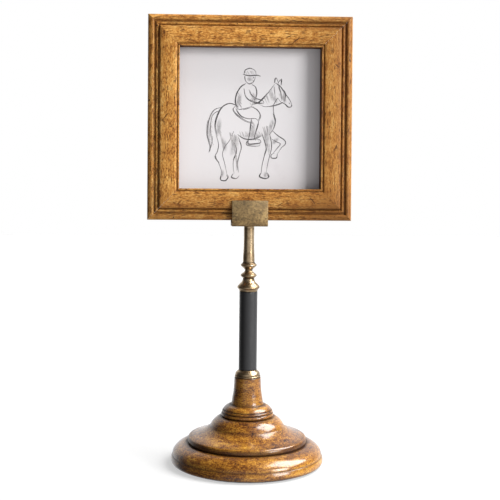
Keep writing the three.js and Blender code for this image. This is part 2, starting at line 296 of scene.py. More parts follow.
def turned(name, outline, steps=120):
    """Spins an outline of (radius, height, glaze and shade) points about the column's axis; the
    third is dark glaze and painted shade on wood, tarnish on brass.
    """
    both_on_axis = outline[0][0] == outline[-1][0] == 0
    closed = outline if both_on_axis else [*outline, outline[0]]
    piece = drawn(name, [(radius, 0, height) for radius, height, _ in closed])
    glaze = piece.data.attributes.new("glaze", "FLOAT", "POINT")
    glaze.data.foreach_set("value", [point[2] for point in closed])
    bpy.ops.object.mode_set(mode="EDIT")
    bpy.ops.mesh.select_all(action="SELECT")
    bpy.ops.mesh.spin(steps=steps, angle=math.tau, center=(0, 0, 0), axis=(0, 0, 1))
    bpy.ops.mesh.select_all(action="SELECT")
    bpy.ops.mesh.remove_doubles(threshold=0.000002)
    bpy.ops.mesh.normals_make_consistent(inside=False)
    bpy.ops.object.mode_set(mode="OBJECT")
    bpy.ops.object.shade_smooth_by_angle(angle=SHARP)
    return piece


def base_wood():
    material, finish, shader = finish_named(
        "lacquered_base_wood", Coat_Roughness=0.17, Coat_IOR=1.5, Specular_IOR_Level=0.15
    )
    place = finish.place()
    laid = finish.stretched(place, (1, 1, 2.6))
    broad = finish.noise(laid, 22, 3, 0.6, 0.5)
    mottle = finish.noise(laid, 170, 5, 0.72, 0.5)
    fine = finish.noise(laid, 620, 5, 0.75)
    streaks = finish.noise(finish.stretched(place, (1, 1, 9)), 48, 5, 0.7, 0.6)
    drops = finish.noise(finish.moved(place, (0.3, 0.1, 0.2)), 190, 3, 0.6)
    glaze = finish.node("ShaderNodeAttribute", {"attribute_name": "glaze"}, {}, 2)

    stain = finish.node("ShaderNodeValToRGB", {"stops": [
        (0.415, (0.024, 0.005, 0.001)),
        (0.460, (0.088, 0.025, 0.003)),
        (0.503, (0.230, 0.083, 0.007)),
        (0.545, (0.410, 0.186, 0.020)),
        (0.600, (0.640, 0.370, 0.065)),
    ]}, {0: broad * 0.20 + mottle * 0.25 + streaks * 0.15 + fine * 0.40})
    freckled = finish.mixed(finish.between(mottle, 0.57, 0.66) * 0.7, stain, (0.060, 0.017, 0.004))
    spotted = finish.mixed(finish.between(drops, 0.66, 0.70) * 0.92, freckled, (0.02, 0.006, 0.002))
    # dark glaze in the grooves, and painted shade in the grooves, at the joins between pieces and
    # on the middle tier's bead face
    pooled_glaze_and_shade = finish.clamped(glaze * (0.15 + mottle * 1.5))
    colour = finish.mixed(pooled_glaze_and_shade, spotted, (0.020, 0.007, 0.003))

    pits = finish.between(drops, 0.66, 0.71)
    dents = finish.noise(place, 95, 2, 0.5)
    height = dents * 0.5 + mottle * 0.25 - pits * 0.9
    wire(
        finish, shader,
        Base_Color=colour,
        Roughness=0.36 + fine * 0.18 + pooled_glaze_and_shade * 0.2,
        Coat_Weight=finish.clamped(1.0 - pooled_glaze_and_shade * 0.85 - pits * 0.6),
        Normal=finish.bumped(height, 0.28, 0.0009),
    )
    return material


lacquered_wood = base_wood()
# the radius of the hole that the rod passes through
BORE = 2.8

plinth_foot = flowing([
    (73.4, 1.5, 1), (75.4, 2.2, 0.7), (76.5, 3.6, 0.2), (76.8, 5.4, 0),
    (76.5, 7.4, 0), (76.0, 9.2, 0.2), (75.6, 10.0, 0.5),
])
plinth_roll = flowing([
    (75.4, 10.5, 0.5), (75.3, 11.6, 0.1), (74.6, 13.7, 0), (73.0, 16, 0), (70.5, 18.3, 0),
    (66.5, 20.6, 0), (62.5, 22, 0.35), (60.6, 22.3, 0.9), (59.4, 22.5, 1),
])
plinth = turned("turned_plinth", [
    (BORE, 22.5, 0), (BORE, 12, 0), (14, 12, 0), (14, 8.3, 0), (51.8, 8.3, 0), (51.8, 1.5, 0),
    *plinth_foot, (75.3, 10.25, 0.6), *plinth_roll,
], 160)
plinth.data.materials.append(lacquered_wood)
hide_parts("base_plinth")
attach(plinth, "stand")

# the bead's face is darkened with painted shade
tier_bead = flowing([
    (59.2, 22.8, 1), (59.8, 23.5, 0.9), (60, 24.8, 0.75), (59.6, 26.8, 0.6), (58.6, 28.2, 0.15),
    (57.2, 28.9, 0.4),
])
tier_sweep = flowing([
    (56.2, 29.2, 0.3), (54, 30, 0.05), (49, 31.8, 0), (44.4, 33.9, 0), (40.6, 36.2, 0.1),
    (38.2, 38, 0.35),
])
tier_dome = flowing([
    (37.5, 38.8, 0.3), (36.4, 41, 0), (34.7, 43.4, 0), (32.3, 45.8, 0), (29.6, 47.6, 0.15),
    (27, 48.6, 0.8),
])
tier = turned("turned_tier", [
    (BORE, 48.6, 0), (BORE, 22.8, 0), *tier_bead, (56.7, 29.0, 0.4), *tier_sweep, *tier_dome,
], 150)
tier.data.materials.append(lacquered_wood)
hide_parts("base_tier")
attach(tier, "stand")

lower_ring = flowing([
    (25, 48.9, 1), (25.9, 49.4, 0.7), (26.4, 50.6, 0.1), (26.3, 51.6, 0.1), (25.7, 52.6, 0.8),
])
middle_ring = flowing([(25.3, 53.3, 0.7), (25.5, 54, 0.1), (25.1, 54.9, 0.3), (24.6, 55.4, 0.9)])
cushion = flowing([
    (24.2, 55.8, 0.7), (23.6, 57, 0.1), (21.8, 58.8, 0), (19.6, 60, 0.1), (17.5, 60.7, 0.8),
])
neck_sweep = flowing([
    (16.6, 61.2, 0.8), (15.8, 63.4, 0.15), (15, 68.6, 0), (14.05, 74.7, 0), (13.6, 80.9, 0),
    (13.3, 86.2, 0), (13.15, 88, 0.5), (12.8, 88.6, 1),
])
neck = turned("turned_neck", [
    (BORE, 88.6, 0), (BORE, 48.9, 0), *lower_ring, (25.1, 52.9, 1), *middle_ring,
    (24, 55.6, 1), *cushion, (16.9, 60.9, 1), *neck_sweep,
])
neck.data.materials.append(lacquered_wood)
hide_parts("base_neck")
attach(neck, "stand")

# ---------------------------------------------------------------------------
# The brass: a two-ringed collar on the neck, a bell flange, a double knop and a
# tapering stem, all turned from bar, clamped on one rod, and left to age.
# ---------------------------------------------------------------------------


def turned_brass():
    material, finish, shader = finish_named("aged_turned_brass", Metallic=1.0)
    place = finish.place()
    glaze = finish.node("ShaderNodeAttribute", {"attribute_name": "glaze"}, {}, 2)
    bloom = finish.noise(place, 150, 4, 0.6, 0.5)
    specks = finish.noise(place, 620, 2, 0.6)
    rings = finish.noise(finish.stretched(place, (1, 1, 260)), 4, 2, 0.5)
    bloomed = finish.between(bloom, 0.35, 0.7)
    metal = finish.mixed(bloomed, (0.50, 0.375, 0.235), (0.32, 0.225, 0.125))
    tarnish = finish.clamped(glaze * 0.85 + finish.between(specks, 0.60, 0.72) * 0.5)
    colour = finish.mixed(tarnish, metal, (0.085, 0.052, 0.025))
    wire(
        finish, shader,
        Base_Color=colour,
        Roughness=0.22 + bloom * 0.12 + tarnish * 0.3,
        Normal=finish.bumped(rings * 0.6 + specks * 0.4, 0.12, 0.0002),
    )
    return material


aged_brass = turned_brass()

collar = turned("brass_collar", [
    (BORE, 96, 0), (BORE, 88.9, 0), (12.6, 88.9, 1),
    *flowing([(12.8, 89, 0.6), (13, 89.5, 0), (12.8, 90.1, 0.3), (12.2, 90.4, 0.9)]),
    *flowing([(12.1, 90.7, 1), (12.3, 91.3, 0.3), (12.3, 92.2, 0), (11.85, 93.1, 0)]),
    *flowing([
        (11.4, 93.5, 0.6), (10.9, 94.2, 0.1), (9.9, 95, 0.1), (9.2, 95.6, 0.5), (9.1, 96, 1),
    ]),
], 96)
collar.data.materials.append(aged_brass)
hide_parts("lower_collar")
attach(collar, "stand")

flange = turned("bell_flange_turned", [
    (BORE, 188.5, 0), (BORE, 175.7, 0), (8.9, 175.7, 1),
    *flowing([(9.15, 175.9, 0.5), (9.4, 176.8, 0.1), (10.1, 178, 0.1), (10.7, 178.6, 0.6)]),
    *flowing([(10.9, 178.9, 0.4), (11.2, 179.6, 0), (10.95, 180.5, 0.1), (10.5, 180.9, 0.8)]),
    *flowing([
        (10.3, 181.4, 0.3), (9.5, 182.4, 0), (8.3, 183.6, 0), (7.2, 184.6, 0),
        (6.4, 185.7, 0), (5.9, 187, 0.1), (5.6, 188.5, 0.8),
    ]),
], 96)
flange.data.materials.append(aged_brass)
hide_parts("bell_flange")
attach(flange, "stand")

knops = turned("double_knop", [
    (BORE, 204.4, 0), (BORE, 188.8, 0), (5.6, 188.8, 1),
    *flowing([(5.8, 189, 0.6), (6.7, 189.8, 0.1), (7.4, 190.4, 0.3), (7.7, 190.7, 0.8)]),
    *flowing([(7.9, 191, 0.3), (8.15, 191.7, 0), (7.9, 192.3, 0.2), (7.45, 192.6, 0.8)]),
    *flowing([
        (7.1, 193, 0.3), (6.1, 193.9, 0), (4.9, 194.8, 0), (4, 195.8, 0.4), (3.75, 196.8, 0.7),
        (4.2, 197.8, 0.4), (5.2, 198.8, 0), (6.7, 200.1, 0), (7.3, 200.8, 0.5),
    ]),
    *flowing([(7.6, 201.1, 0.4), (8.05, 201.9, 0), (7.7, 202.7, 0.2), (7.1, 203.1, 0.8)]),
    (6.4, 203.8, 0.7), (6.1, 204.4, 1),
], 96)
knops.data.materials.append(aged_brass)
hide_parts("twin_knop")
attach(knops, "stand")

stem = turned("tapering_stem", [
    (0, 226, 0), (0, 220.8, 0), (BORE, 220.8, 0), (BORE, 204.7, 0), (5.7, 204.7, 1),
    *flowing([
        (5.9, 204.9, 0.6), (5.85, 206.5, 0.1), (5.7, 212, 0), (5.4, 217, 0), (5.25, 222, 0),
        (5.15, 228, 0), (5.15, 237.8, 0.2), (5, 238.5, 0.8),
    ]),
    (2.3, 238.6, 0), (2.3, 226, 0),
], 96)
stem.data.materials.append(aged_brass)
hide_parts("stem_tube")
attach(stem, "stand")


def refinished(node, material):
    """Gives a node that keeps its shape another finish."""
    materials = frame["nodes"][node].data.materials
    materials.clear()
    materials.append(material)


for node in ("wedge_washer", "pivot_screw"):
    refinished(node, aged_brass)

# ---------------------------------------------------------------------------
# The sleeve: black leather wrapped round a wooden core and glued, its two edges
# butted together down the back, held at both ends by the brass.
# ---------------------------------------------------------------------------


def wrapped_leather():
    material, finish, shader = finish_named(
        "black_wrapped_leather", Specular_IOR_Level=0.42, Coat_Roughness=0.45
    )
    place = finish.place()
    pebbles = finish.node("ShaderNodeTexVoronoi", {"feature": "DISTANCE_TO_EDGE"}, {
        "Vector": place, "Scale": 1150, "Randomness": 1,
    })
    creases = finish.between(pebbles, 0.0, 0.12)
    wrinkles = finish.noise(finish.stretched(place, (1, 1, 0.4)), 240, 4, 0.6)
    tone = finish.noise(place, 60, 3, 0.6)
    across, back, _ = finish.split(place)
    down_the_back = finish.between(back, 4 * MM, 6 * MM)
    seam = finish.between(abs(across), 0.7 * MM, 0.1 * MM) * down_the_back
    glaze = finish.node("ShaderNodeAttribute", {"attribute_name": "glaze"}, {}, 2)
    hide = finish.mixed(tone, (0.020, 0.020, 0.021), (0.033, 0.034, 0.035))
    grained = finish.mixed(creases, (0.022, 0.022, 0.024), hide)
    # darker along the seam down the back and at both ends where the brass holds the leather
    darker_seam_and_ends = finish.clamped(seam + glaze * 0.7)
    colour = finish.mixed(darker_seam_and_ends, grained, (0.008, 0.008, 0.009))
    height = creases * 0.5 + wrinkles * 0.5 - seam * 1.5
    wire(
        finish, shader,
        Base_Color=colour,
        Roughness=0.25 + wrinkles * 0.12,
        Normal=finish.bumped(height, 0.28, 0.0003),
    )
    return material


CORE = 8.15
LEATHER = 9.05
sleeve = turned("leather_wrap", [
    (CORE, 175.4, 0), (CORE, 96.3, 0), (8.7, 96.3, 1),
    *flowing([(8.95, 96.45, 0.8), (LEATHER, 96.9, 0.2), (LEATHER, 98, 0)]),
    (LEATHER, 110, 0), (LEATHER, 136, 0), (LEATHER, 162, 0),
    *flowing([(LEATHER, 173.6, 0), (LEATHER, 174.8, 0.2), (8.95, 175.25, 0.8), (8.7, 175.4, 1)]),
], 96)
sleeve.data.materials.append(wrapped_leather())
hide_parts("leather_sleeve")
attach(sleeve, "stand")

# ---------------------------------------------------------------------------
# The bracket: one strip of brass sheet, folded into a front lip, a ledge and a
# tall back rest, aged until it is olive and speckled, and screwed to the stem.
# ---------------------------------------------------------------------------

lift = next(joint for joint in frame["joints"] if joint["name"] == "frame_lift")
swivel = next(joint for joint in frame["joints"] if joint["name"] == "head_swivel")
lean = math.atan2(lift["axis"][1], lift["axis"][2])
head_place = Matrix.Translation(swivel["pos_m"]) @ Matrix.Rotation(-lean, 4, "X")


def put(piece, place):
    """Moves a piece that was made upright to its place, into its mesh."""
    piece.data.transform(place)
    piece.data.update()


def thickened(name, outline, width, bevel):
    """A closed (depth, height) outline, drawn and stretched along X to some width."""
    piece = drawn(name, [(-width / 2, depth, height) for depth, height in outline])
    bpy.ops.object.mode_set(mode="EDIT")
    bpy.ops.mesh.select_all(action="SELECT")
    bpy.ops.mesh.edge_face_add()
    bpy.ops.mesh.extrude_region_move(TRANSFORM_OT_translate={"value": (width * MM, 0, 0)})
    bpy.ops.mesh.select_all(action="SELECT")
    bpy.ops.mesh.normals_make_consistent(inside=False)
    bpy.ops.object.mode_set(mode="OBJECT")
    rounded = piece.modifiers.new("worn_edges", "BEVEL")
    rounded.width = bevel * MM
    rounded.segments = 3
    rounded.limit_method = "ANGLE"
    rounded.angle_limit = math.radians(50)
    bpy.ops.object.modifier_apply(modifier=rounded.name)
    bpy.ops.object.shade_smooth_by_angle(angle=SHARP)
    return piece


def sheet_brass():
    material, finish, shader = finish_named("speckled_sheet_brass", Metallic=1.0)
    place = finish.place()
    clouds = finish.noise(place, 95, 5, 0.65, 0.4)
    specks = finish.noise(place, 430, 4, 0.7)
    blots = finish.noise(finish.moved(place, (0.2, 0.5, 0.1)), 360, 4, 0.7, 0.8)
    olive = finish.node("ShaderNodeValToRGB", {"stops": [
        (0.40, (0.100, 0.056, 0.020)),
        (0.50, (0.235, 0.145, 0.056)),
        (0.60, (0.370, 0.245, 0.100)),
    ]}, {0: clouds * 0.45 + specks * 0.55})
    stained = finish.mixed(finish.between(blots, 0.53, 0.64) * 0.85, olive, (0.045, 0.026, 0.012))
    worn = finish.node("ShaderNodeNewGeometry", {}, {}, 7)
    rubbed = finish.between(worn, 0.52, 0.60)
    colour = finish.mixed(rubbed * 0.75, stained, (0.62, 0.50, 0.32))
    wire(
        finish, shader,
        Base_Color=colour,
        Roughness=0.46 + specks * 0.2 - rubbed * 0.15,
        Normal=finish.bumped(specks * 0.5 + blots * 0.5, 0.25, 0.0004),
    )
    return material


SHEET = 2.5
LEDGE = 3
LIP_FRONT = -15
LIP_BACK = LIP_FRONT + SHEET
LIP_TOP = 25.6
REST_BACK = 14.1
REST_FRONT = REST_BACK - SHEET
REST_TOP = 96
BRACKET_WIDTH = 35.7
FOLD = 2.4


def quarter(centre, start):
    """The points of a quarter circle round a fold, from an angle in degrees."""
    angles = [math.radians(start + step * 15) for step in range(7)]
    return [(centre[0] + FOLD * math.cos(a), centre[1] + FOLD * math.sin(a)) for a in angles]


bracket = thickened("folded_bracket", [
    (LIP_FRONT, LIP_TOP),
    *quarter((LIP_FRONT + FOLD, FOLD), 180),
    *quarter((REST_BACK - FOLD, FOLD), 270),
    (REST_BACK, REST_TOP), (REST_FRONT, REST_TOP), (REST_FRONT, LEDGE),
    (LIP_BACK, LEDGE), (LIP_BACK, LIP_TOP),
], BRACKET_WIDTH, 0.45)
put(bracket, head_place)
bracket.data.materials.append(sheet_brass())
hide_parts("bracket_cradle")
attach(bracket, "head")

# ---------------------------------------------------------------------------
# The felt: dark green wool felt, die cut and glued, under the base and on the
# bracket's ledge and back rest so that neither marks what it touches.
# ---------------------------------------------------------------------------


def wool_felt():
    material, finish, shader = finish_named(
        "green_wool_felt", Sheen_Weight=0.5, Sheen_Roughness=0.5, Specular_IOR_Level=0.15
    )
    place = finish.place()
    fibres = finish.noise(finish.stretched(place, (1, 3, 3)), 900, 4, 0.7, 1.2)
    clumps = finish.noise(place, 170, 3, 0.6)
    colour = finish.mixed(fibres * 0.6 + clumps * 0.4, (0.008, 0.019, 0.012), (0.042, 0.075, 0.052))
    wire(
        finish, shader,
        Base_Color=colour,
        Roughness=0.86 + clumps * 0.12,
        Normal=finish.bumped(fibres, 0.6, 0.0004),
    )
    return material


felt = wool_felt()
for node in ("felt_pad", "ledge_felt", "rest_felt"):
    refinished(node, felt)

# ---------------------------------------------------------------------------
# The picture frame: four lengths of one deep moulding, mitred and glued, stained
# golden brown, glazed dark with painted shade in the grooves and recess, darkened
# with painted shade on the right and bottom rails, scratched to look old, and given
# a painted highlight along the outer edge.
# ---------------------------------------------------------------------------

SIDE = 203
DEPTH = 22
RAIL_WIDTH = 31.3
REBATE = 26
PRINT_SEAT = 16
# how much each rail is short of its mitre, so that the joint shows as a hairline
MITRE = 0.03
# the middle of each scratch, across and up from the picture's centre, its turn and half length
SCRATCHES = [
    (44, 77, 50, 7), (37, 80, 62, 4), (-84, 0, 38, 6), (-78, -9, 55, 3), (30, -86, 58, 4),
    (62, -82, -35, 6), (84, -30, 25, 5), (-30, 82, -70, 3), (-70, -84, 50, 4), (85, 52, -40, 3),
]
half_side = SIDE / 2
frame_front = LIP_BACK + 0.3
frame_foot = 5.9
picture_centre = Vector((0, frame_front, frame_foot + half_side)) * MM
picture_place = head_place @ Matrix.Translation(picture_centre)


def from_picture(finish):
    """The place on a piece, from the picture's centre and along its sides."""
    return finish.moved(finish.place(), tuple(picture_place.translation), (-lean, 0, 0))


def frame_wood(name, upright):
    """Wood whose grain runs along the rail: up the side rails, across the others."""
    material, finish, shader = finish_named(name, Coat_Roughness=0.3, Specular_IOR_Level=0.12)
    place = from_picture(finish)
    across, depth, up = finish.split(place)
    grain_scale = (30, 30, 3.2) if upright else (3.2, 30, 30)
    pore_scale = (300, 300, 48) if upright else (48, 300, 300)
    fleck_scale = (850, 850, 380) if upright else (380, 850, 850)
    grain = finish.noise(finish.stretched(place, grain_scale), 5, 5, 0.62, 0.9)
    figure = finish.noise(finish.stretched(place, grain_scale), 1.6, 3, 0.55, 1.4)
    pores = finish.noise(finish.stretched(place, pore_scale), 2.6, 3, 0.7)
    mottle = finish.noise(place, 85, 4, 0.65, 0.5)
    flecks = finish.noise(finish.stretched(place, fleck_scale), 1, 4, 0.7)
    stain = finish.node("ShaderNodeValToRGB", {"stops": [
        (0.415, (0.150, 0.046, 0.008)),
        (0.455, (0.345, 0.132, 0.023)),
        (0.500, (0.500, 0.222, 0.044)),
        (0.545, (0.620, 0.315, 0.077)),
        (0.600, (0.780, 0.470, 0.150)),
    ]}, {0: grain * 0.24 + figure * 0.10 + mottle * 0.24 + flecks * 0.42})
    # painted shade: the right and bottom rails are darkened
    painted_shade_right_and_bottom = finish.between(across, 0.02, 0.085) * 0.48 + finish.between(up, -0.06, -0.09) * 0.30
    stain_and_painted_shade = finish.mixed(painted_shade_right_and_bottom, stain, (0.20, 0.075, 0.014))
    pored = finish.mixed(finish.between(pores, 0.53, 0.61) * 0.85, stain_and_painted_shade, (0.090, 0.030, 0.007))

    # how far in from the outer edge, in millimetres, on this rail
    inset = half_side - abs(across if upright else up) / MM
    # dark glaze in the grooves with painted shade in them, and a painted shadow line at the sight
    # edge
    glaze_and_shade_bands = finish.node("ShaderNodeValToRGB", {"stops": [
        (0.000, (0.22,) * 3),
        (0.040, (0.30,) * 3),
        (0.165, (0.32,) * 3),
        (0.205, (0.70,) * 3),
        (0.230, (0.95,) * 3),
        (0.255, (0.80,) * 3),
        (0.275, (0.15,) * 3),
        (0.315, (0.10,) * 3),
        (0.345, (0.85,) * 3),
        (0.365, (0.95,) * 3),
        (0.385, (0.50,) * 3),
        (0.440, (0.28,) * 3),
        (0.530, (0.00,) * 3),
        (0.880, (0.00,) * 3),
        (0.905, (0.35,) * 3),
        (0.930, (0.95,) * 3),
        (0.945, (0.80,) * 3),
        (0.960, (0.10,) * 3),
        (1.000, (0.05,) * 3),
    ]}, {0: inset / RAIL_WIDTH})
    # painted shade on the reveal wall and on everything behind the front
    front = finish.between(depth, 8.5 * MM, 6 * MM)
    painted_shade_on_reveal = finish.between(inset, RAIL_WIDTH - 0.2, RAIL_WIDTH - 0.05)
    glaze = finish.clamped(
        glaze_and_shade_bands * (0.05 + mottle * 1.2) * front + (1 - front) * 0.25 + painted_shade_on_reveal * 0.75
    )
    mitre = finish.between(abs(abs(across) - abs(up)), 0.9 * MM, 0.1 * MM)
    glaze_shade_and_mitres = finish.clamped(glaze + mitre * 0.15)
    glazed_and_shaded = finish.mixed(glaze_shade_and_mitres, pored, (0.090, 0.032, 0.009))
    # a painted highlight along the outermost edge of the front
    painted_edge_highlight = finish.between(inset, 0.8, 0.3) * finish.between(depth, 6.4 * MM, 5.8 * MM)
    colour = finish.mixed(painted_edge_highlight * 0.6, glazed_and_shaded, (0.50, 0.36, 0.22))

    # slanting scratches and wormholes that have filled with dark wax
    worms = finish.noise(finish.moved(place, (0.4, 0.2, 0.3)), 210, 2, 0.5)
    marks = finish.between(worms, 0.70, 0.74)
    waver = (mottle - 0.5) * 0.004
    for x, z, turn_deg, reach in SCRATCHES:
        along = finish.moved(place, (x * MM, 0, z * MM), (0, math.radians(turn_deg), 0))
        side, _, end = finish.split(along)
        thin = finish.between(abs(side + waver), 0.7 * MM, 0.1 * MM)
        marks = marks + thin * finish.between(abs(end), reach * MM, reach * MM * 0.5) * 0.75
    marks = finish.clamped(marks)
    marked = finish.mixed(marks, colour, (0.035, 0.012, 0.004))

    wire(
        finish, shader,
        Base_Color=marked,
        Roughness=0.42 + mottle * 0.16 + glaze_shade_and_mitres * 0.15,
        Coat_Weight=finish.clamped(0.12 - glaze_shade_and_mitres * 0.1),
        Normal=finish.bumped(grain * 0.25 + mottle * 0.35 - pores * 0.3 - marks, 0.35, 0.0006),
    )
    return material


section = [
    (0, DEPTH), (0, 6),
    *flowing([(0, 5.9), (0.4, 4.9), (1.4, 3.8), (2.8, 2.9), (4.4, 2.5), (5.6, 2.9), (6.3, 3.8)], 3),
    (6.6, 4.7), (7.6, 4.7),
    *flowing([(7.8, 4), (8.3, 3.3), (9.2, 3.05), (10, 3.35), (10.5, 4.1)], 3),
    (10.8, 4.5), (11.3, 4.5), (11.6, 1.6),
    *flowing([(11.9, 0.9), (12.5, 0.3), (13.4, 0)], 3),
    (27.2, 0), *flowing([(27.4, 0.05), (28.2, 0.45), (28.7, 1.1)], 3), (29, 1.5), (29.5, 1.5),
    *flowing([(29.6, 1.1), (30, 0.75), (30.6, 0.7), (31.1, 1), (RAIL_WIDTH, 1.7)], 3),
    (RAIL_WIDTH, PRINT_SEAT), (REBATE, PRINT_SEAT), (REBATE, DEPTH),
]
first_rail = drawn("moulded_rail_bottom", [
    (-half_side - 1, depth, inset - half_side) for inset, depth in section
])
bpy.ops.object.mode_set(mode="EDIT")
bpy.ops.mesh.select_all(action="SELECT")
bpy.ops.mesh.edge_face_add()
length = {"value": ((SIDE + 2) * MM, 0, 0)}
bpy.ops.mesh.extrude_region_move(TRANSFORM_OT_translate=length)
for end in (-1, 1):
    bpy.ops.mesh.select_all(action="SELECT")
    corner = Vector((end * (half_side - MITRE), 0, -half_side)) * MM
    bpy.ops.mesh.bisect(
        plane_co=corner, plane_no=(-end, 0, -1), use_fill=True, clear_inner=True
    )
bpy.ops.mesh.select_all(action="SELECT")
bpy.ops.mesh.normals_make_consistent(inside=False)
bpy.ops.object.mode_set(mode="OBJECT")
bpy.ops.object.shade_smooth_by_angle(angle=math.radians(30))


def copied(piece, name):
    """A copy of a piece with a mesh of its own."""
    twin = piece.copy()
    twin.data = piece.data.copy()
    twin.name = name
    bpy.context.scene.collection.objects.link(twin)
    return twin


level_wood = frame_wood("frame_wood_across", False)
upright_wood = frame_wood("frame_wood_upright", True)
rails = [first_rail]
for name in ("right", "top", "left"):
    rails.append(copied(first_rail, "moulded_rail_" + name))
for quarter_turns, (name, rail) in enumerate(zip(("bottom", "right", "top", "left"), rails)):
    put(rail, picture_place @ Matrix.Rotation(-quarter_turns * math.pi / 2, 4, "Y"))
    rail.data.materials.append(upright_wood if quarter_turns % 2 else level_wood)
    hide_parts("rail_" + name)
    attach(rail, "frame")

# ---------------------------------------------------------------------------
# The drawing: a sheet of white drawing paper on thin card, and on it a quick
# pencil sketch of a trotting horse and its rider, with some soft shading.
# ---------------------------------------------------------------------------

# the middle of each rubbed patch, across and up from the picture's centre, its turn, and
# how far it reaches across and up
RUBBED = [
    (-16, -27, 12, 4, 13), (-25, -27, -10, 3.5, 10), (17, -20, -8, 4, 11), (26, -22, 45, 3, 6),
    (2, -17, 0, 13, 3.5), (-31, -9, 8, 3.5, 12), (-11, 18, 12, 3, 10), (5, 21, -20, 2.6, 6),
    (24, 21, -35, 3.5, 9), (33, 21, -38, 2.5, 8), (3, -12, 8, 3.5, 8), (0, 39.5, 0, 4, 3.2),
    (-40, -14, 3, 2, 12), (22, -6, 10, 3, 8), (-27, -55, 0, 2.5, 5), (16, -56, 0, 2.5, 4),
]


def drawing_paper():
    material, finish, shader = finish_named("white_drawing_paper", Specular_IOR_Level=0.2)
    place = finish.place()
    tooth = finish.noise(place, 1400, 3, 0.6)
    tone = finish.noise(place, 16, 3, 0.5)
    smudges = finish.noise(finish.moved(place, (0.1, 0, 0.6)), 38, 3, 0.6)
    clean = finish.mixed(tone, (0.66, 0.63, 0.635), (0.69, 0.675, 0.685))
    smudged = finish.mixed(finish.between(smudges, 0.60, 0.80) * 0.35, clean, (0.56, 0.52, 0.53))

    # graphite rubbed in with a finger, where the form turns away from the light
    local = from_picture(finish)
    strokes = finish.noise(finish.stretched(local, (420, 1, 150)), 1, 3, 0.6, 0.8)
    rubbed = None
    for x, z, turn_deg, wide, tall in RUBBED:
        patch = finish.moved(
            local, (x * MM, 0, z * MM), (0, math.radians(turn_deg), 0), (wide * MM, 1, tall * MM)
        )
        flat = finish.node("ShaderNodeVectorMath", {"operation": "MULTIPLY"}, {
            0: patch, 1: (1, 0, 1),
        })
        reach = finish.node("ShaderNodeVectorMath", {"operation": "LENGTH"}, {0: flat}, 1)
        patch_tone = finish.between(reach, 1, 0.2)
        rubbed = patch_tone if rubbed is None else finish.maths("MAXIMUM", rubbed, patch_tone)
    tone_amount = finish.clamped(rubbed * (strokes * 2.2 - 0.55))
    colour = finish.mixed(tone_amount * 0.8, smudged, (0.085, 0.08, 0.085))
    wire(
        finish, shader,
        Base_Color=colour,
        Roughness=0.85 + tooth * 0.1,
        Normal=finish.bumped(tooth, 0.15, 0.0001),
    )
    return material


def graphite(name, pale, dark):
    material, finish, shader = finish_named(name, Specular_IOR_Level=0.3)
    place = finish.place()
    tooth = finish.noise(place, 1500, 3, 0.7)
    pressure = finish.noise(place, 130, 3, 0.6)
    cover = finish.between(tooth * 0.5 + pressure * 0.5, 0.36, 0.60)
    wire(
        finish, shader,
        Base_Color=finish.mixed(cover, pale, dark),
        Roughness=0.55 + tooth * 0.2,
    )
    return material


refinished("print_sheet", drawing_paper())
PAPER_FRONT = PRINT_SEAT + 0.3
# a pencil line is drawn as a round one of this radius, pressed nearly flat and a little sunk in
LINE_RADIUS = 0.5
PRESSED = 0.12
SUNK = 0.02

# each line is its width and its points, across and up from the paper's centre, in millimetres
OUTLINES = [
    (0.9, [(-12, 12), (-20, 15), (-28, 11), (-33, 2), (-35, -8), (-33, -18)]),
    (0.7, [(-33, -18), (-31, -26), (-32, -33), (-34, -38), (-31, -44), (-28, -52), (-27, -57)]),
    (1.0, [(-34, -37), (-33, -41), (-30, -45)]),
    (0.6, [(-16, -13), (-20, -22), (-25, -29), (-27, -36), (-25, -44), (-23, -53), (-22, -58)]),
    (0.8, [(-28, -56), (-29, -61), (-24, -62), (-21, -59), (-22, -56)]),
    (0.7, [(-19, -20), (-14, -27), (-13, -34), (-16, -42), (-16, -51), (-15, -55)]),
    (0.6, [(-11, -19), (-8, -28), (-10, -36), (-12, -45), (-11, -54)]),
    (0.8, [(-16, -55), (-18, -59), (-13, -60), (-10, -57)]),
    (0.7, [(-12, -16), (-5, -20), (4, -20), (12, -16)]),
    (0.7, [(2, 14), (9, 16), (16, 23), (22, 31), (26, 36)]),
    (0.8, [(26, 36), (31, 32), (35, 26), (40, 19), (42, 15)]),
    (0.7, [(42, 15), (41, 12), (38, 12), (35, 15), (31, 17), (28, 21)]),
    (0.8, [(28, 21), (24, 14), (24, 6), (26, -2), (24, -10), (20, -15)]),
    (0.7, [(25, 36), (26, 41), (29, 35)]),
    (0.6, [(28, 36), (31, 39), (31, 33)]),
    (1.0, [(32.6, 28.3), (33.6, 28.6), (34.2, 28)]),
    (0.8, [(39.4, 15.6), (40.2, 15.9)]),
    (0.6, [(29, 33), (31, 26), (32, 18)]),
    (0.6, [(34, 28), (36, 23), (35, 16)]),
    (0.6, [(34, 17), (26, 14), (16, 12), (10, 14)]),
    (0.7, [(12, -14), (15, -22), (17, -30), (15, -37), (13, -46), (12, -54)]),
    (0.7, [(20, -15), (22, -23), (22, -30), (20, -38), (18, -47), (17, -54)]),
    (0.9, [(12, -54), (10, -58), (16, -60), (19, -58), (17, -54)]),
    (0.8, [(23, -12), (29, -17), (35, -21), (36, -25), (32, -29), (28, -35)]),
    (0.6, [(22, -20), (27, -23), (31, -25), (28, -29), (24, -34)]),
    (0.9, [(28, -35), (27, -39), (22, -39), (22, -36), (25, -34)]),
    (0.6, [(-28, 11), (-36, 8), (-41, -2), (-42, -16), (-39, -28), (-40, -34)]),
    (0.5, [(-30, 8), (-37, 3), (-39, -8), (-38, -20), (-36, -27)]),
    (0.5, [(-40, -33), (-38, -26), (-37, -18)]),
]
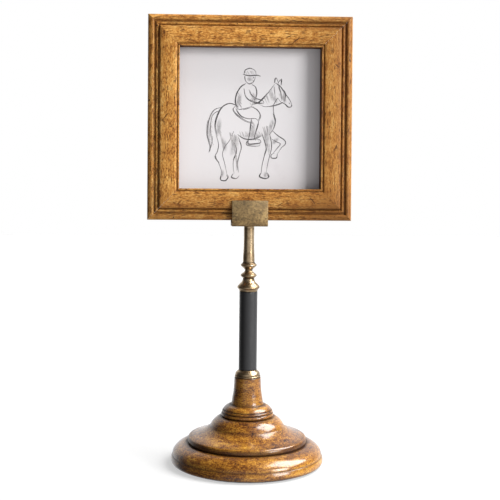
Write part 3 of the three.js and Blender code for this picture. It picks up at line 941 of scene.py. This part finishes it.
RIDER = [
    (0.7, [(-6, 44), (-5, 48), (0, 50), (5, 48), (6, 44)]),
    (0.8, [(-7, 44), (0, 43), (7, 43.5), (10, 42.5)]),
    (0.6, [(-5, 43), (-4.5, 38), (-1, 34.5), (3, 36), (5, 40), (5.4, 43)]),
    (0.5, [(3.2, 40.8), (4.4, 40.9)]),
    (0.5, [(2.6, 37.4), (3.9, 37.6)]),
    (0.8, [(-4, 35), (-9, 32), (-13, 25), (-14, 16), (-11, 9)]),
    (0.7, [(2, 34), (6, 31), (7, 24), (4, 17), (1, 12)]),
    (0.8, [(-6, 30), (-4, 22), (2, 17), (9, 15), (13, 15)]),
    (0.6, [(-1, 29), (1, 24), (6, 20), (12, 18.5), (14, 16.5), (13, 14.5)]),
    (0.6, [(-11, 9), (-5, 10), (1, 12)]),
    (0.8, [(-14, 10), (-9, 3), (-2, 0), (6, 0), (9, -3)]),
    (0.7, [(1, 12), (7, 9), (11, 3), (9, -3)]),
    (0.8, [(9, -3), (7, -10), (5, -18), (6, -22)]),
    (0.8, [(2, 0), (1, -8), (0, -16), (-1, -21)]),
    (0.9, [(-1, -21), (-1, -25), (5, -25), (11, -24), (10, -21), (6, -21)]),
    (0.6, [(-14, 12), (-17, 9), (-13, 3), (-4, -3), (3, -5)]),
    (0.5, [(-1, -20), (-3, -26), (10, -27), (8, -20)]),
]
# each patch of shading is a count of strokes, a width, and the first and last stroke
SHADING = [
    (9, 0.55, ((-33, -6), (-29, -13)), ((-27, -22), (-25, -32))),
    (12, 0.7, ((-20, -14), (-18, -24)), ((-12, -18), (-12, -32))),
    (8, 0.6, ((-15, -30), (-14, -38)), ((-12, -42), (-12, -52))),
    (12, 0.55, ((-10, -13), (-8, -19)), ((8, -13), (11, -17))),
    (9, 0.65, ((13, -8), (16, -17)), ((22, -6), (21, -16))),
    (8, 0.6, ((15, -20), (17, -27)), ((20, -26), (20, -36))),
    (8, 0.55, ((14, 22), (18, 14)), ((25, 33), (26, 22))),
    (6, 0.5, ((29, 30), (31, 25)), ((36, 24), (35, 18))),
    (10, 0.55, ((-12, 26), (-9, 20)), ((-11, 14), (-8, 10))),
    (9, 0.7, ((3, 26), (6, 19)), ((0, 15), (4, 11))),
    (8, 0.7, ((2, -2), (5, -6)), ((1, -14), (4, -19))),
    (10, 0.5, ((-40, 2), (-37, -2)), ((-41, -26), (-37, -28))),
    (7, 0.45, ((-5, 47), (-3, 44)), ((4, 48), (6, 44))),
]


def pencilled(name, lines, material):
    """Pencil lines: thin tapering ribbons that lie on the paper."""
    curve = bpy.data.curves.new(name, "CURVE")
    curve.dimensions = "3D"
    curve.bevel_depth = LINE_RADIUS * MM
    curve.bevel_resolution = 0
    for width, points in lines:
        smooth = flowing(points, 5)
        line = curve.splines.new("POLY")
        line.points.add(len(smooth) - 1)
        for step, (point, (across, up)) in enumerate(zip(line.points, smooth)):
            along = step / (len(smooth) - 1)
            point.co = (across * MM, 0, up * MM, 1)
            point.radius = width * (0.35 + 0.65 * math.sin(math.pi * min(along + 0.08, 1)) ** 0.7)
    drawing = bpy.data.objects.new(name, curve)
    bpy.context.scene.collection.objects.link(drawing)
    bpy.ops.object.select_all(action="DESELECT")
    drawing.select_set(True)
    bpy.context.view_layer.objects.active = drawing
    bpy.ops.object.convert(target="MESH")
    pressed = Matrix.Diagonal((1, PRESSED, 1, 1))
    on_paper = Matrix.Translation((0, (PAPER_FRONT - SUNK) * MM, 0))
    ribbons = bpy.context.object
    put(ribbons, picture_place @ on_paper @ pressed)
    ribbons.data.materials.append(material)
    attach(ribbons, "frame")


def hatched(count, width, first, last):
    """Strokes from one to another, side by side, each a little astray as a hand draws them."""
    strokes = []
    for stroke in range(count):
        share = stroke / (count - 1)
        astray = 0.5 * math.sin(stroke * 2.4)
        ends = [
            (a[0] + (b[0] - a[0]) * share + astray, a[1] + (b[1] - a[1]) * share + astray)
            for a, b in zip(first, last)
        ]
        strokes.append((width, ends))
    return strokes


def restated(lines, part, shift):
    """The same lines gone over once more, a little astray, along one part of their length."""
    first, last = part
    again = []
    for number, (width, points) in enumerate(lines):
        astray = shift * math.cos(number * 1.7), shift * math.sin(number * 2.9)
        moved = [(across + astray[0], up + astray[1]) for across, up in flowing(points, 3)]
        kept = moved[int(first * len(moved)):max(int(last * len(moved)), 2)]
        if len(kept) > 1:
            again.append((width, kept))
    return again


first_lines = OUTLINES + RIDER
dark_lines = [
    *first_lines,
    *restated(first_lines, (0.1, 0.65), 0.55),
    *restated(first_lines[::2], (0.4, 1), 0.8),
]
dark_graphite = graphite("dark_graphite", (0.22, 0.21, 0.21), (0.03, 0.028, 0.03))
pencilled("sketch_lines", dark_lines, dark_graphite)
soft_strokes = [stroke for patch in SHADING for stroke in hatched(*patch)]
soft_graphite = graphite("soft_graphite", (0.62, 0.59, 0.59), (0.30, 0.285, 0.29))
pencilled("sketch_shading", soft_strokes, soft_graphite)

# ---------------------------------------------------------------------------
# The back: a brown hardboard that closes the frame, and four small brass turn
# buttons, stamped from sheet, each held by a slotted round-head screw.
# ---------------------------------------------------------------------------


def hardboard():
    material, finish, shader = finish_named("brown_hardboard", Specular_IOR_Level=0.25)
    place = finish.place()
    fibres = finish.noise(finish.stretched(place, (1, 1, 4)), 420, 4, 0.7, 1.5)
    clouds = finish.noise(place, 30, 4, 0.6)
    colour = finish.mixed(fibres * 0.5 + clouds * 0.5, (0.085, 0.045, 0.020), (0.30, 0.185, 0.095))
    wire(
        finish, shader,
        Base_Color=colour,
        Roughness=0.62 + fibres * 0.2,
        Normal=finish.bumped(fibres, 0.3, 0.0002),
    )
    return material


refinished("backing_board", hardboard())


def cut(piece, cutter):
    """Takes the shape of a cutter out of a piece, and then removes the cutter."""
    taken_out = piece.modifiers.new("cut", "BOOLEAN")
    taken_out.operation = "DIFFERENCE"
    taken_out.object = cutter
    bpy.ops.object.select_all(action="DESELECT")
    piece.select_set(True)
    bpy.context.view_layer.objects.active = piece
    bpy.ops.object.modifier_apply(modifier=taken_out.name)
    bpy.ops.object.shade_smooth_by_angle(angle=SHARP)
    bpy.data.objects.remove(cutter)


BUTTON_SEAT = DEPTH + 0.3
BUTTON_THICK = 1.5
BUTTON_BORE = 1.8
BUTTON_ROUND = 4.5
BUTTON_TAIL = 5
BUTTON_REACH = 18
BUTTON_INSET = 19
tail_centre = BUTTON_TAIL - BUTTON_ROUND
reach_centre = BUTTON_ROUND - BUTTON_REACH
round_end = [
    (BUTTON_ROUND * math.sin(a), BUTTON_ROUND * math.cos(a))
    for a in (math.radians(15 * step) for step in range(13))
]
button = thickened("turn_button_plate", [
    *[(tail_centre + along, up) for along, up in round_end],
    *[(reach_centre - along, -up) for along, up in round_end],
], BUTTON_THICK, 0.35)
laid_flat = Matrix.Rotation(-math.pi / 2, 4, "Z")
put(button, Matrix.Translation((0, (BUTTON_SEAT + BUTTON_THICK / 2) * MM, 0)) @ laid_flat)
bpy.ops.object.select_all(action="DESELECT")
bpy.ops.mesh.primitive_cylinder_add(
    radius=BUTTON_BORE * MM, depth=6 * MM,
    location=(0, BUTTON_SEAT * MM, 0), rotation=(math.pi / 2, 0, 0),
)
cut(button, bpy.context.object)
button.data.materials.append(aged_brass)

screw = turned("button_screw_turned", [
    (0, 14, 0), (1.5, 14, 0), (1.5, 24.1, 0.5),
    *flowing([(3, 24.1, 1), (3.1, 24.5, 0.3), (2.6, 25.2, 0), (1.6, 25.7, 0), (0, 25.85, 0)], 3),
], 32)
screw.data.materials.append(aged_brass)
bpy.ops.object.select_all(action="DESELECT")
bpy.ops.mesh.primitive_cube_add(size=2 * MM, location=(0, 0, 26.1 * MM), scale=(4, 0.4, 1))
cut(screw, bpy.context.object)
put(screw, Matrix.Rotation(-math.pi / 2, 4, "X"))

# the left-hand buttons are turned half round, so that they too point to the middle
for side, side_name, half_turn in ((-1, "left", math.pi), (1, "right", 0)):
    for height, level in ((-38, "lower"), (38, "upper")):
        place_name = side_name + "_" + level
        pivot = Vector((side * (half_side - BUTTON_INSET), 0, height)) * MM
        here = picture_place @ Matrix.Translation(pivot) @ Matrix.Rotation(half_turn, 4, "Y")

        plate = copied(button, "turn_button_plate_" + place_name)
        put(plate, here)
        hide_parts("turn_button_" + place_name)
        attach(plate, "button_" + place_name)

        held_by = copied(screw, "button_screw_turned_" + place_name)
        put(held_by, here)
        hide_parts("button_screw_" + place_name)
        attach(held_by, "frame")
for spare in (button, screw):
    bpy.data.objects.remove(spare)

# ---------------------------------------------------------------------------
# What the base hides: a steel ballast ring in the plinth, the rod, washer and
# nut that clamp the stack, and the wooden core that the leather is glued to.
# ---------------------------------------------------------------------------


def plain_steel():
    material, finish, shader = finish_named("plain_steel", Metallic=1.0)
    place = finish.place()
    scale = finish.noise(place, 160, 4, 0.6)
    cuts = finish.noise(finish.stretched(place, (1, 1, 40)), 30, 2, 0.5)
    wire(
        finish, shader,
        Base_Color=finish.mixed(scale, (0.26, 0.26, 0.27), (0.46, 0.46, 0.47)),
        Roughness=0.30 + scale * 0.25,
        Normal=finish.bumped(cuts, 0.15, 0.0002),
    )
    return material


steel = plain_steel()
for node in ("ballast_ring", "tie_rod", "base_washer", "base_nut"):
    refinished(node, steel)
refinished("core_dowel", lacquered_wood)
